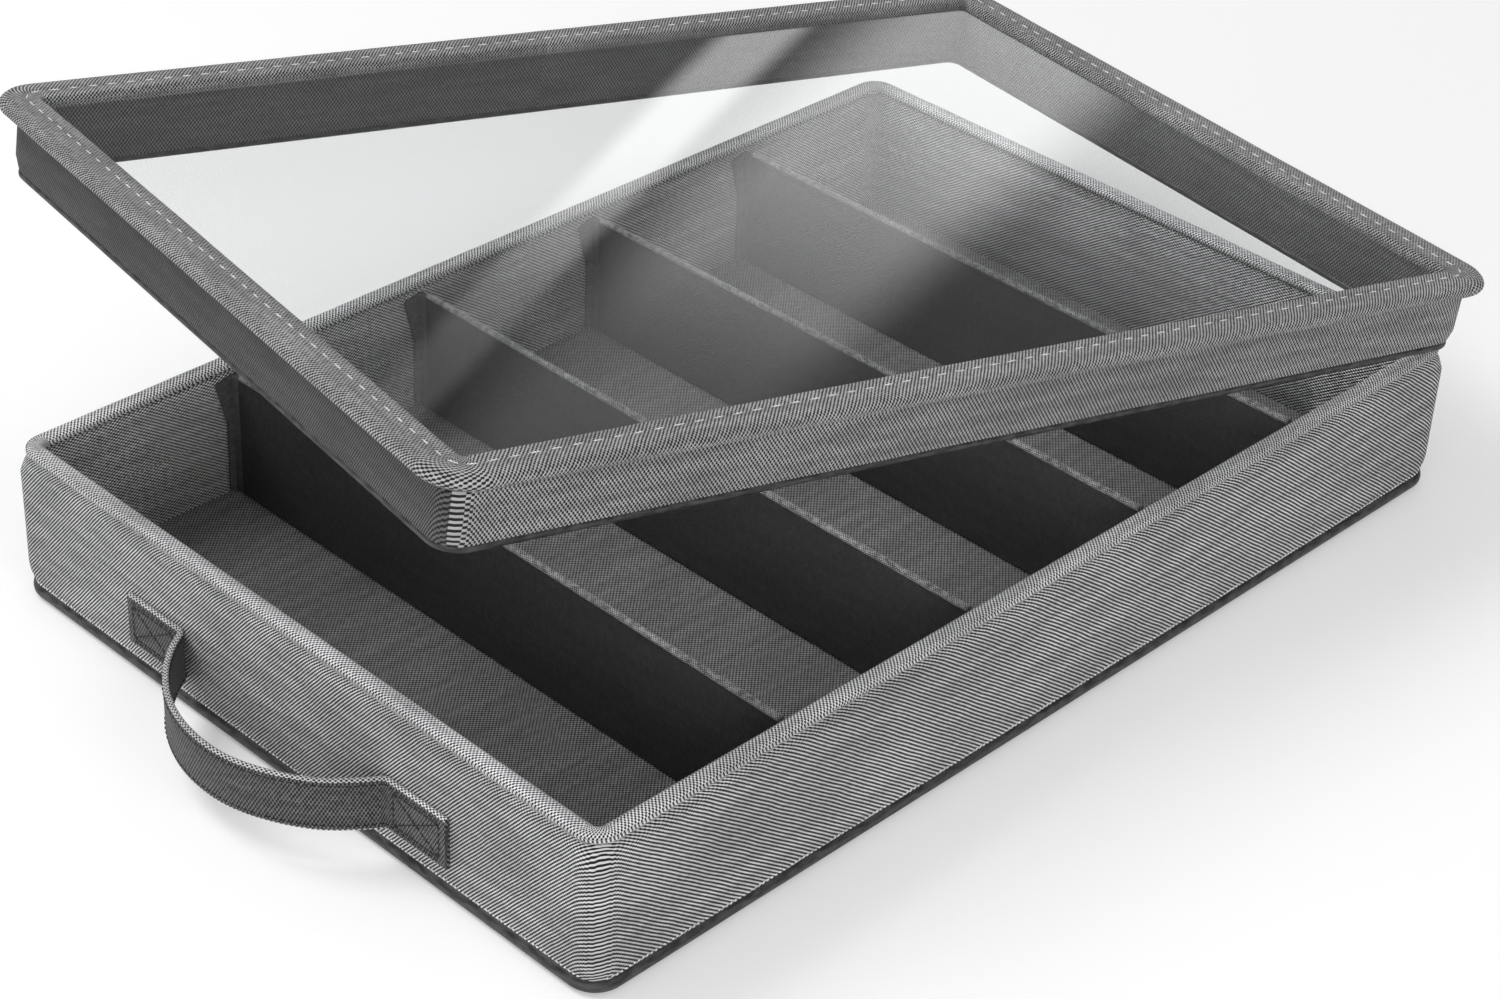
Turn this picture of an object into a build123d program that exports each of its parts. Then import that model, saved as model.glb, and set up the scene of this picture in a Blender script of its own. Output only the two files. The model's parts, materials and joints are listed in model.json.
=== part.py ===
from build123d import *
import math
import os

# Frame: millimetres, +Z up, Z = 0 is the plane the bin stands on.
# Origin is the middle of the bin's underside, X runs along the bin, the handles are on its two ends.

# ---- Bin: driving dimensions ----
BIN_LENGTH = 385.0
BIN_WIDTH = 260.0
BIN_HEIGHT = 53.5
BIN_CORNER = 9.0
SKIN = 0.8
BIN_BOARD = 3.4

RIM_HEIGHT = 4.5
RIM_PROUD = 0.5
RIM_WIDTH = 7.0
RIM_ROUND = 3.4

PIPING_HEIGHT = 5.0
PIPING_PROUD = 1.0
PIPING_WIDTH = 5.5
PIPING_ROUND = 2.0

BASE_BOARD = 3.0

# ---- Dividers ----
DIVIDER_X = (-113.5, -35.5, 43.0, 118.0)
DIVIDER_END_GAP = 5.0
DIVIDER_THICK = 2.2
DIVIDER_BOARD = 1.4
DIVIDER_DROP = 3.5
DIVIDER_END_SKIN = 0.6
BINDING_WIDTH = 2.4
BINDING_HEIGHT = 2.0
BINDING_ROUND = 0.7
SLIDE_GAP = 0.4

TAB_THICK = 1.0
TAB_REACH = 6.0
TAB_STEM = 2.0
TAB_TOP_SLOPE = 1.6
TAB_TAPER = 17.6

# ---- Handles ----
STRAP_WIDTH = 18.0
STRAP_THICK = 2.0
STRAP_MID_Z = 19.8
SEWN_INNER_Y = 47.0
SEWN_LENGTH = 25.0
LOOP_OUT = 29.5
PIVOT_WALL_GAP = 0.5
PIVOT_GAP = 0.4

# ---- Lid, sized level on the rim, then turned to its resting pose ----
LID_SEAT_GAP = 0.8
LID_PROUD = 2.0
LID_HEIGHT = 26.5
LID_BOARD = 3.9
LID_CORNER = 9.0
TAPE_HEIGHT = 2.4
TAPE_PROUD = 0.2
TAPE_BEVEL = 0.9

FLANGE_THICK = 5.0
FLANGE_OVERHANG = 7.0
FLANGE_BAND = 13.3
FLANGE_CORNER = 15.0
FLANGE_NOSE = 2.4
FLANGE_CORE_THICK = 3.4
FLANGE_CORE_IN = 1.9
FLANGE_CORE_OUT = 1.7

FILM_THICK = 0.5
FILM_TUCK = 1.5
FILM_BELOW_TOP = 2.6

LID_TURN = 12.9
LID_AXIS_AZIMUTH = 93.0
LID_AXIS_TILT = -49.7
LID_AXIS_IN_X = 4.5
LID_AXIS_IN_Y = 23.0

# ---- Derived levels ----
rim_under = BIN_HEIGHT - RIM_HEIGHT
base_board_top = SKIN + BASE_BOARD
floor_top = base_board_top + SKIN
bin_wall = 2 * SKIN + BIN_BOARD
divider_length = BIN_WIDTH - 2 * bin_wall - 2 * DIVIDER_END_GAP
loop_half_chord = SEWN_INNER_Y + STRAP_THICK / 2
loop_radius = (LOOP_OUT**2 + loop_half_chord**2) / (2 * LOOP_OUT)
pivot_out = STRAP_WIDTH / 2 + STRAP_THICK + PIVOT_WALL_GAP
lid_bottom = BIN_HEIGHT + LID_SEAT_GAP
lid_top = lid_bottom + LID_HEIGHT
flange_under = lid_top - FLANGE_THICK
lid_wall = 2 * SKIN + LID_BOARD
lid_length = BIN_LENGTH + 2 * LID_PROUD
lid_width = BIN_WIDTH + 2 * LID_PROUD

parts = {}


def plate(length, width, corner, bottom, top):
    """Rounded rectangle standing from bottom to top."""
    face = RectangleRounded(length, width, corner)
    return Pos(0, 0, bottom) * extrude(face, top - bottom)


def ring(length, width, corner, wall, bottom, top):
    """Rounded rectangular ring with an even wall."""
    outer = plate(length, width, corner, bottom, top)
    inner = plate(length - 2 * wall, width - 2 * wall, corner - wall, bottom, top)
    return outer - inner


def inset(outline, step):
    """Outline (length, width, corner) moved inwards by step."""
    length, width, corner = outline
    return length - 2 * step, width - 2 * step, corner - step


def outer_loop(solid, level):
    """Edges of the outer loop of the flat face at a level."""
    face = [f for f in solid.faces().filter_by(GeomType.PLANE) if abs(f.center().Z - level) < 0.01][0]
    return face.outer_wire().edges()


def inner_loop(solid, level):
    """Edges of the hole in the flat face at a level."""
    face = [f for f in solid.faces().filter_by(GeomType.PLANE) if abs(f.center().Z - level) < 0.01][0]
    return face.inner_wires()[0].edges()


def block(x_range, y_range, z_range):
    """Square-edged block given by its ranges."""
    size = [hi - lo for lo, hi in (x_range, y_range, z_range)]
    mid = [(hi + lo) / 2 for lo, hi in (x_range, y_range, z_range)]
    return Pos(*mid) * Box(*size)


def wall_boards(outline, board, bottom, top):
    """Four stiffening boards that stand inside the two skins of a wall."""
    length, width, corner = outline
    run_x = length / 2 - corner
    run_y = width / 2 - corner
    out_x = length / 2 - SKIN
    out_y = width / 2 - SKIN
    level = (bottom, top)
    return {
        "front": block((-run_x, run_x), (-out_y, -out_y + board), level),
        "back": block((-run_x, run_x), (out_y - board, out_y), level),
        "left": block((-out_x, -out_x + board), (-run_y, run_y), level),
        "right": block((out_x - board, out_x), (-run_y, run_y), level),
    }


def build_bin():
    outline = (BIN_LENGTH, BIN_WIDTH, BIN_CORNER)
    inside_piping = inset(outline, PIPING_WIDTH - PIPING_PROUD)

    piping = ring(*inset(outline, -PIPING_PROUD), PIPING_WIDTH, 0, PIPING_HEIGHT)
    piping = fillet(outer_loop(piping, PIPING_HEIGHT) + outer_loop(piping, 0), PIPING_ROUND)
    parts["bin_base_piping"] = piping

    parts["bin_base_cloth"] = plate(*inside_piping, 0, SKIN)
    parts["bin_base_board"] = plate(*inside_piping, SKIN, base_board_top)

    boards = wall_boards(outline, BIN_BOARD, PIPING_HEIGHT, rim_under)
    for side, board in boards.items():
        parts["bin_wall_board_" + side] = board

    cover = ring(*outline, SKIN + BIN_BOARD, PIPING_HEIGHT, rim_under)
    parts["bin_outer_cover"] = cover - list(boards.values())

    lining_outline = inset(outline, SKIN + BIN_BOARD)
    lining = plate(*inside_piping, base_board_top, PIPING_HEIGHT)
    lining += plate(*lining_outline, PIPING_HEIGHT, rim_under)
    lining -= plate(*inset(outline, bin_wall), floor_top, rim_under)
    parts["bin_inner_lining"] = lining

    roll = ring(*inset(outline, -RIM_PROUD), RIM_WIDTH, rim_under, BIN_HEIGHT)
    edges = outer_loop(roll, BIN_HEIGHT) + inner_loop(roll, BIN_HEIGHT)
    parts["bin_rim_roll"] = fillet(edges, RIM_ROUND)


def divider_tab():
    """Far end tab of a divider at x = 0: a stem from the divider and a tapering flap along the wall."""
    reach = BIN_WIDTH / 2 - bin_wall - SLIDE_GAP
    side = DIVIDER_THICK / 2
    low = floor_top + SLIDE_GAP
    high = rim_under - SLIDE_GAP
    stem = block((-side, side), (divider_length / 2, reach), (low, high))
    outline = Polyline(
        (-side, low),
        (-side, high),
        (-side - TAB_REACH, high - TAB_TOP_SLOPE),
        (-side - TAB_STEM, high - TAB_TAPER),
        (-side - TAB_STEM, low),
        close=True,
    )
    flap = extrude(Plane.XZ * make_face(outline), -TAB_THICK)
    return stem + Pos(0, reach - TAB_THICK, 0) * flap


def build_dividers():
    half = divider_length / 2
    low = floor_top + SLIDE_GAP
    top = BIN_HEIGHT - DIVIDER_DROP
    cover_top = top - BINDING_HEIGHT
    skin = (DIVIDER_THICK - DIVIDER_BOARD) / 2
    core_y = half - DIVIDER_END_SKIN

    core = block((-DIVIDER_BOARD / 2, DIVIDER_BOARD / 2), (-core_y, core_y), (low + skin, cover_top))
    cover = block((-DIVIDER_THICK / 2, DIVIDER_THICK / 2), (-half, half), (low, cover_top)) - core
    binding = block((-BINDING_WIDTH / 2, BINDING_WIDTH / 2), (-half, half), (cover_top, top))
    long_edges = binding.edges().filter_by(Axis.Y).group_by(Axis.Z)[-1]
    binding = fillet(long_edges, BINDING_ROUND)
    far_tab = divider_tab()
    near_tab = far_tab.rotate(Axis.Z, 180)

    pieces = {
        "core_board": core,
        "cloth_cover": cover,
        "top_binding": binding,
        "far_tab": far_tab,
        "near_tab": near_tab,
    }
    for number, x in enumerate(DIVIDER_X, start=1):
        for name, solid in pieces.items():
            parts[f"divider_{number}_{name}"] = Pos(x, 0, 0) * solid


def left_loop():
    """Strap loop that bows out of the left end, cut round where it turns."""
    wall_x = -BIN_LENGTH / 2
    centre_x = wall_x - LOOP_OUT + loop_radius
    low = STRAP_MID_Z - STRAP_WIDTH / 2
    disc = Circle(loop_radius) - Circle(loop_radius - STRAP_THICK)
    band = Pos(centre_x, 0, low) * extrude(disc, STRAP_WIDTH)
    pivot_x = wall_x - pivot_out
    reach = loop_radius * 2
    keep = block((pivot_x - reach, pivot_x), (-reach, reach), (low, low + STRAP_WIDTH))
    turn = Pos(pivot_x, 0, STRAP_MID_Z) * Rot(90, 0, 0) * Cylinder(STRAP_WIDTH / 2, 2 * reach)
    return band, keep, turn


def build_handles():
    wall_x = -BIN_LENGTH / 2
    low = STRAP_MID_Z - STRAP_WIDTH / 2
    pivot_x = wall_x - pivot_out
    band, keep, turn = left_loop()
    loop = band & (keep + turn)

    reach = loop_radius * 2
    wide = Cylinder(STRAP_WIDTH / 2 + PIVOT_GAP, 2 * reach)
    gap_turn = Pos(pivot_x, 0, STRAP_MID_Z) * Rot(90, 0, 0) * wide
    root_zone = block((pivot_x, wall_x), (-reach, reach), (low, low + STRAP_WIDTH))
    roots = (band & root_zone) - gap_turn
    sewn = {}
    for name, side in (("near", -1), ("far", 1)):
        ends = sorted((side * SEWN_INNER_Y, side * (SEWN_INNER_Y + SEWN_LENGTH)))
        patch = block((wall_x - STRAP_THICK, wall_x), ends, (low, low + STRAP_WIDTH))
        half = block((pivot_x, wall_x), sorted((0, side * reach)), (low, low + STRAP_WIDTH))
        sewn[name] = patch + (roots & half)

    parts["handle_left_loop"] = loop
    parts["handle_right_loop"] = loop.rotate(Axis.Z, 180)
    for name, solid in sewn.items():
        parts[f"handle_left_{name}_sewn_end"] = solid
    parts["handle_right_near_sewn_end"] = sewn["far"].rotate(Axis.Z, 180)
    parts["handle_right_far_sewn_end"] = sewn["near"].rotate(Axis.Z, 180)


def lid_axis():
    """Axis of the turn that takes the lid from its seat to the resting pose."""
    azimuth = math.radians(LID_AXIS_AZIMUTH)
    tilt = math.radians(LID_AXIS_TILT)
    flat = math.cos(tilt)
    direction = (flat * math.cos(azimuth), flat * math.sin(azimuth), math.sin(tilt))
    point = (BIN_LENGTH / 2 - LID_AXIS_IN_X, LID_AXIS_IN_Y - BIN_WIDTH / 2, BIN_HEIGHT)
    return Axis(point, direction)


def build_lid():
    lid = {}
    outline = (lid_length, lid_width, LID_CORNER)
    skirt_low = lid_bottom + TAPE_HEIGHT

    tape_outline = inset(outline, -TAPE_PROUD)
    tape = ring(*tape_outline, lid_wall + 2 * TAPE_PROUD, lid_bottom, skirt_low)
    lid["bottom_tape"] = chamfer(outer_loop(tape, lid_bottom) + inner_loop(tape, lid_bottom), TAPE_BEVEL)

    boards = wall_boards(outline, LID_BOARD, skirt_low, flange_under)
    for side, board in boards.items():
        lid["skirt_board_" + side] = board
    cover = ring(*outline, SKIN + LID_BOARD, skirt_low, flange_under)
    lid["skirt_cover"] = cover - list(boards.values())
    lid["skirt_lining"] = ring(*inset(outline, SKIN + LID_BOARD), SKIN, skirt_low, flange_under)

    flange_outline = (
        lid_length + 2 * FLANGE_OVERHANG,
        lid_width + 2 * FLANGE_OVERHANG,
        FLANGE_CORNER,
    )
    band = ring(*flange_outline, FLANGE_BAND, flange_under, lid_top)
    nose = outer_loop(band, flange_under) + outer_loop(band, lid_top)
    band = fillet(nose, FLANGE_NOSE)

    core_outline = inset(flange_outline, FLANGE_CORE_OUT)
    core_wall = FLANGE_BAND - FLANGE_CORE_OUT - FLANGE_CORE_IN
    core_low = flange_under + (FLANGE_THICK - FLANGE_CORE_THICK) / 2
    core = ring(*core_outline, core_wall, core_low, core_low + FLANGE_CORE_THICK)
    lid["flange_core"] = core

    opening = inset(flange_outline, FLANGE_BAND)
    film_top = lid_top - FILM_BELOW_TOP
    film = plate(*inset(opening, -FILM_TUCK), film_top - FILM_THICK, film_top)
    lid["window_film"] = film
    lid["flange_cover"] = band - core - film

    axis = lid_axis()
    for name, solid in lid.items():
        parts["lid_" + name] = solid.rotate(axis, LID_TURN)


build_bin()
build_dividers()
build_handles()
build_lid()

os.makedirs("parts", exist_ok=True)
for name, solid in parts.items():
    export_step(solid, f"parts/{name}.step")
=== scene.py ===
"""Silverware chest: a boarded cloth bin with dividers, strap handles and a loose lid with a window."""

import json
import math

import bmesh
import bpy
from mathutils import Matrix, Vector, noise
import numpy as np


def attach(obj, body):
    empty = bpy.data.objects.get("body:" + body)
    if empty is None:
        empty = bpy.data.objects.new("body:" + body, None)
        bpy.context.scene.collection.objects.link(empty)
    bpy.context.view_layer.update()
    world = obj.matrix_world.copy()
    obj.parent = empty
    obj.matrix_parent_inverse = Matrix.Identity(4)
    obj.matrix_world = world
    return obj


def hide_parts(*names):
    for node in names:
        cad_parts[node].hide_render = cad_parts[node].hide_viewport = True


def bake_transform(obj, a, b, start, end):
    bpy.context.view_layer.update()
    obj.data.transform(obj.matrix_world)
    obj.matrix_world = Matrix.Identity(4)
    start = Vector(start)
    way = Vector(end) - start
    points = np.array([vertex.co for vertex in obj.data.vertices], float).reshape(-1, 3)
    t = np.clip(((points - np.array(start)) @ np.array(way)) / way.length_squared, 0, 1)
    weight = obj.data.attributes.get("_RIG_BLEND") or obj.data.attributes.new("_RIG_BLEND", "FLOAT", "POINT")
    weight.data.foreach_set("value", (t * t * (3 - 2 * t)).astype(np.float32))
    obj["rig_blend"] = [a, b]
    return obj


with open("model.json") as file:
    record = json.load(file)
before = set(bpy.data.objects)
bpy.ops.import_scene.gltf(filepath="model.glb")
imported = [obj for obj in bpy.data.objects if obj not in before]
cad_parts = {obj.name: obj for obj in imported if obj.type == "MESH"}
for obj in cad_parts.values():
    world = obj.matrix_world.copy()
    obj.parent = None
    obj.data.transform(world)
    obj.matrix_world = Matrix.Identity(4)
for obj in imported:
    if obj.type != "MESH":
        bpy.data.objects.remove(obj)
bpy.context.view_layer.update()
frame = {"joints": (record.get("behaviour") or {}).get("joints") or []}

MM = 0.001
UP = (0, 0, 1)
QUARTER = math.pi / 2
SHARP = math.radians(50.0)

# ---- sizes of the real chest, in millimetres ----
BIN = (192.5, 130.0, 9.0)  # half length, half width, corner radius of the wall's outside
BIN_TOP = 53.5
ROLL_UNDER = 50.6
PIPING_TOP = 5.0
WALL = 5.0
FLOOR_TOP = 4.6
DIVIDER_X = (-113.5, -35.5, 43.0, 118.0)
DIVIDER_HALF = 120.0
DIVIDER_TOP = 50.0
LID = (194.5, 132.0, 9.0)
FLANGE = (194.5, 132.0, 8.0)
LID_LOW = 54.3
LID_TOP = 80.8
STRAP_MID_Z = 19.8
STRAP_HALF = 9.0
PATCH_X = -193.5
PATCH_OUTER_Y = 72.0
LOOP_CENTRE_X = -168.2
LOOP_RADIUS = 52.8
FOLD_RADIUS = 3.0

# The lid's place is a turn about its joint, from its seat on the rim to its rest.
lid_joint = next(j for j in frame["joints"] if j["name"] == "lid_lift")
lid_pivot = Matrix.Translation(Vector(lid_joint["pos_m"]))
lid_turn = Matrix.Rotation(math.radians(-lid_joint["range_deg"][0]), 4, Vector(lid_joint["axis"]))
LID_PLACE = lid_pivot @ lid_turn @ lid_pivot.inverted()


# ---- materials ---------------------------------------------------------------------------------------------


def new_group(name, inputs, outputs):
    """Empty node group with float inputs (name: default) and a first vector input called Position."""
    group = bpy.data.node_groups.new(name, "ShaderNodeTree")
    group.interface.new_socket("Position", in_out="INPUT", socket_type="NodeSocketVector")
    for key, value in inputs.items():
        socket = group.interface.new_socket(key, in_out="INPUT", socket_type="NodeSocketFloat")
        socket.default_value = value
    for key in outputs:
        group.interface.new_socket(key, in_out="OUTPUT", socket_type="NodeSocketFloat")
    source = group.nodes.new("NodeGroupInput")
    sink = group.nodes.new("NodeGroupOutput")
    return group, source.outputs, sink.inputs


def feed(tree, socket, value):
    if isinstance(value, bpy.types.NodeSocket):
        tree.links.new(value, socket)
    else:
        socket.default_value = value


def calc(tree, operation, first, second=0.0, third=0.0):
    """Math node."""
    node = tree.nodes.new("ShaderNodeMath")
    node.operation = operation
    for socket, value in zip(node.inputs, (first, second, third)):
        feed(tree, socket, value)
    return node.outputs[0]


def mottle(tree, position, scale, detail=2.0, stretch=(1.0, 1.0, 1.0)):
    """Noise texture value, with the position stretched first."""
    node = tree.nodes.new("ShaderNodeTexNoise")
    node.inputs["Scale"].default_value = scale
    node.inputs["Detail"].default_value = detail
    mapping = tree.nodes.new("ShaderNodeMapping")
    mapping.inputs["Scale"].default_value = stretch
    tree.links.new(position, mapping.inputs["Vector"])
    tree.links.new(mapping.outputs[0], node.inputs["Vector"])
    return node.outputs["Fac"]


def ramp(tree, value, low, high, to_low=0.0, to_high=1.0):
    """Smooth map of a value from one range to another."""
    node = tree.nodes.new("ShaderNodeMapRange")
    node.interpolation_type = "SMOOTHSTEP"
    for socket, item in zip(node.inputs[:5], (value, low, high, to_low, to_high)):
        feed(tree, socket, item)
    return node.outputs[0]


def blend_colours(tree, share, first, second):
    node = tree.nodes.new("ShaderNodeMix")
    node.data_type = "RGBA"
    feed(tree, node.inputs["Factor"], share)
    feed(tree, node.inputs["A"], first)
    feed(tree, node.inputs["B"], second)
    return node.outputs["Result"]


def make_weave_group():
    """Two-tone weave on a UV map in metres: a net of light threads round staggered dark points."""
    inputs = {"Along pitch": 1.3, "Across pitch": 1.3, "Dark share": 0.5, "Twill": 0.0, "Uneven": 0.2}
    group, source, sink = new_group("woven threads", inputs, ("Light thread", "Height", "Tone"))
    split = group.nodes.new("ShaderNodeSeparateXYZ")
    group.links.new(source["Position"], split.inputs[0])
    turn = 2000.0 * math.pi
    wander = mottle(group, source["Position"], 80.0, 1.0)
    wander = calc(group, "MULTIPLY_ADD", wander, 0.0004, -0.0002)
    along = calc(group, "ADD", split.outputs[0], wander)
    across = calc(group, "ADD", split.outputs[1], wander)
    phase_u = calc(group, "DIVIDE", calc(group, "MULTIPLY", along, turn), source["Along pitch"])
    phase_v = calc(group, "DIVIDE", calc(group, "MULTIPLY", across, turn), source["Across pitch"])
    falling = calc(group, "COSINE", calc(group, "ADD", phase_u, phase_v))
    rising = calc(group, "COSINE", calc(group, "SUBTRACT", phase_u, phase_v))
    falling = calc(group, "MULTIPLY", falling, calc(group, "MULTIPLY_ADD", source["Twill"], 0.5, 0.5))
    rising_share = calc(group, "MULTIPLY_ADD", source["Twill"], -0.5, 0.5)
    pattern = calc(group, "MULTIPLY_ADD", rising, rising_share, falling)
    fleck = calc(group, "SUBTRACT", mottle(group, source["Position"], 520.0, 1.0), 0.5)
    fleck = calc(group, "MULTIPLY", fleck, calc(group, "MULTIPLY", source["Uneven"], 4.0))
    pattern = calc(group, "ADD", pattern, fleck)
    edge = calc(group, "MULTIPLY_ADD", source["Dark share"], 1.6, -0.8)
    light = ramp(group, pattern, calc(group, "SUBTRACT", edge, 0.22), calc(group, "ADD", edge, 0.22))
    group.links.new(light, sink["Light thread"])
    group.links.new(pattern, sink["Height"])
    yarn = mottle(group, source["Position"], 260.0, 2.0, (0.12, 1.0, 1.0))
    broad = mottle(group, source["Position"], 22.0, 3.0, (0.4, 1.0, 1.0))
    yarn_tone = ramp(group, yarn, 0.3, 0.7, 0.82, 1.14)
    tone = calc(group, "MULTIPLY", yarn_tone, ramp(group, broad, 0.3, 0.7, 0.88, 1.1))
    group.links.new(tone, sink["Tone"])
    return group


WEAVE = make_weave_group()


def surface(name, roughness, coordinate="UV"):
    """New material with its Principled shader and a coordinate output."""
    material = bpy.data.materials.new(name)
    material.use_nodes = True
    tree = material.node_tree
    shader = tree.nodes["Principled BSDF"]
    shader.inputs["Roughness"].default_value = roughness
    position = tree.nodes.new("ShaderNodeTexCoord").outputs[coordinate]
    return material, tree, shader, position


def relief(tree, shader, height, distance, strength=1.0):
    bump = tree.nodes.new("ShaderNodeBump")
    bump.inputs["Distance"].default_value = distance
    bump.inputs["Strength"].default_value = strength
    tree.links.new(height, bump.inputs["Height"])
    tree.links.new(bump.outputs[0], shader.inputs["Normal"])


def cloth(name, dark, light, weave, roughness=0.88, sheen=0.12, depth=0.00018):
    """Two-tone woven cloth. The greys are linear values."""
    material, tree, shader, position = surface(name, roughness)
    node = tree.nodes.new("ShaderNodeGroup")
    node.node_tree = WEAVE
    tree.links.new(position, node.inputs["Position"])
    for key, value in weave.items():
        node.inputs[key].default_value = value
    colour = blend_colours(tree, node.outputs["Light thread"], (*dark, 1.0), (*light, 1.0))
    scale = tree.nodes.new("ShaderNodeVectorMath")
    scale.operation = "SCALE"
    tree.links.new(colour, scale.inputs[0])
    tree.links.new(node.outputs["Tone"], scale.inputs["Scale"])
    tree.links.new(scale.outputs[0], shader.inputs["Base Color"])
    shader.inputs["Sheen Weight"].default_value = sheen
    relief(tree, shader, node.outputs["Height"], depth)
    return material


def grey(value, blue=1.0):
    return (value, value, value * blue)


def weave(along, across, dark_share, twill=0.0, uneven=0.2):
    return {
        "Along pitch": along,
        "Across pitch": across,
        "Dark share": dark_share,
        "Twill": twill,
        "Uneven": uneven,
    }


DARK = grey(0.004)
bin_twill = cloth("bin twill", DARK, grey(0.66, 1.01), weave(1.79, 1.36, 0.55, 0.4, 0.16))
rim_cloth = cloth("rim cloth", DARK, grey(0.78, 1.01), weave(1.25, 1.5, 0.46, 0.1, 0.12))
lid_cloth = cloth("lid cloth", DARK, grey(0.44, 1.01), weave(1.36, 1.72, 0.50, 0.05, 0.12))
# Painted shade: the lid cloth again, darker, for both end skirts.
lid_end_painted_shade_cloth = cloth("lid end painted shade cloth", DARK, grey(0.12, 1.01), weave(1.36, 1.72, 0.50, 0.3, 0.12))
flange_cloth = cloth("flange cloth", DARK, grey(0.46, 1.01), weave(1.3, 1.45, 0.50, 0.15, 0.2))
lining_cloth = cloth("lining cloth", DARK, grey(0.66, 1.01), weave(1.74, 1.2, 0.55, 0.05, 0.15))
lid_inside_cloth = cloth("lid inside cloth", DARK, grey(0.18, 1.01), weave(1.32, 1.7, 0.50, 0.1, 0.12))
# Painted shade: a darker copy of the lining weave for the compartment floors.
floor_painted_shade_cloth = cloth("floor painted shade cloth", DARK, grey(0.22, 1.01), weave(1.5, 1.3, 0.52, 0.05, 0.15))
strap_cloth = cloth("strap cloth", DARK, grey(0.16, 1.01), weave(1.1, 1.9, 0.52, 0.1, 0.25))
# Painted shade: the strap cloth again, darker, for the loop's inner face toward the wall.
strap_inside_painted_shade = cloth("strap inside painted shade", DARK, grey(0.035), weave(1.1, 1.9, 0.52, 0.1, 0.25))
strap_edge = cloth("strap edge", DARK, grey(0.70, 1.01), weave(1.5, 1.2, 0.45, 0.0, 0.15))
divider_weave = weave(0.9, 0.9, 0.5, 0.0, 0.9)
divider_cloth = cloth("divider cloth", grey(0.010), grey(0.020), divider_weave, 0.75, 0.05, 0.00008)
binding_cloth = cloth("divider binding", grey(0.03), grey(0.30), weave(0.9, 0.9, 0.5, 0.0, 0.6))
tab_cloth = cloth("tab cloth", grey(0.03), grey(0.08), weave(0.8, 0.8, 0.5, 0.0, 0.8), 0.8)
base_cloth = cloth("base cloth", grey(0.008), grey(0.03), weave(1.2, 1.2, 0.5, 0.0, 0.6))


def smooth_tape():
    """Smooth dark binding tape with a faint rib along it."""
    material, tree, shader, position = surface("edge tape", 0.5)
    tone = mottle(tree, position, 700.0, 3.0, (0.3, 1.0, 1.0))
    dark = (0.012, 0.012, 0.013, 1.0)
    light = (0.055, 0.055, 0.057, 1.0)
    shade = blend_colours(tree, ramp(tree, tone, 0.35, 0.65), dark, light)
    tree.links.new(shade, shader.inputs["Base Color"])
    rib = mottle(tree, position, 900.0, 1.0, (1.0, 0.25, 1.0))
    relief(tree, shader, rib, 0.0001, 0.6)
    return material


def thread(name, value, roughness=0.6):
    """Twisted sewing thread."""
    material, tree, shader, position = surface(name, roughness, "Object")
    ply = mottle(tree, position, 2500.0, 0.0)
    low = grey(value * 0.7)
    high = grey(min(value * 1.25, 1.0))
    shade = blend_colours(tree, ramp(tree, ply, 0.35, 0.65), (*low, 1.0), (*high, 1.0))
    tree.links.new(shade, shader.inputs["Base Color"])
    relief(tree, shader, ply, 0.0001, 0.5)
    return material


def clear_film():
    """Clear window film. Shadow rays pass, so the chest under it stays lit."""
    material, tree, shader, position = surface("clear film", 0.004, "Object")
    shader.inputs["Base Color"].default_value = (0.97, 0.98, 0.985, 1.0)
    shader.inputs["Transmission Weight"].default_value = 1.0
    shader.inputs["IOR"].default_value = 1.4
    sag = mottle(tree, position, 6.0, 0.0)
    relief(tree, shader, sag, 0.0006, 0.12)
    path = tree.nodes.new("ShaderNodeLightPath")
    clear = tree.nodes.new("ShaderNodeBsdfTransparent")
    mix = tree.nodes.new("ShaderNodeMixShader")
    tree.links.new(path.outputs["Is Shadow Ray"], mix.inputs[0])
    tree.links.new(shader.outputs[0], mix.inputs[1])
    tree.links.new(clear.outputs[0], mix.inputs[2])
    tree.links.new(mix.outputs[0], tree.nodes["Material Output"].inputs["Surface"])
    return material


tape_material = smooth_tape()
light_thread = thread("light thread", 0.80)
seam_thread = thread("seam thread", 0.36)
dark_thread = thread("dark thread", 0.012)
film_material = clear_film()


# ---- making meshes -----------------------------------------------------------------------------------------


def finish_piece(name, bm, material, body, replaced=(), place=None, smooth=True):
    """Turns a bmesh in millimetres into a piece on a body. Without a body it is blended later."""
    bmesh.ops.scale(bm, vec=(MM, MM, MM), verts=bm.verts)
    if place is not None:
        bmesh.ops.transform(bm, matrix=place, verts=bm.verts)
    mesh = bpy.data.meshes.new(name)
    for face in bm.faces:
        face.smooth = smooth
    for edge in bm.edges:
        edge.smooth = len(edge.link_faces) == 2 and edge.calc_face_angle() < SHARP
    bm.to_mesh(mesh)
    bm.free()
    piece = bpy.data.objects.new(name, mesh)
    bpy.context.scene.collection.objects.link(piece)
    for item in material if isinstance(material, (list, tuple)) else [material]:
        mesh.materials.append(item)
    if body:
        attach(piece, body)
    if replaced:
        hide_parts(*replaced)
    return piece


def outline_runs(outline):
    """Straight runs and corners of a rounded rectangle, anticlockwise from the middle of its back side."""
    half_x, half_y, corner = outline
    x, y = half_x - corner, half_y - corner
    return [
        ("run", (-x, 0.0)),
        ("corner", (-x, y)),
        ("run", (0.0, -2 * y)),
        ("corner", (-x, -y)),
        ("run", (2 * x, 0.0)),
        ("corner", (x, -y)),
        ("run", (0.0, 2 * y)),
        ("corner", (x, y)),
        ("run", (-x, 0.0)),
    ]


def outline_length(outline):
    half_x, half_y, corner = outline
    return 4 * (half_x + half_y - 2 * corner) + 2 * math.pi * corner


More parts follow.
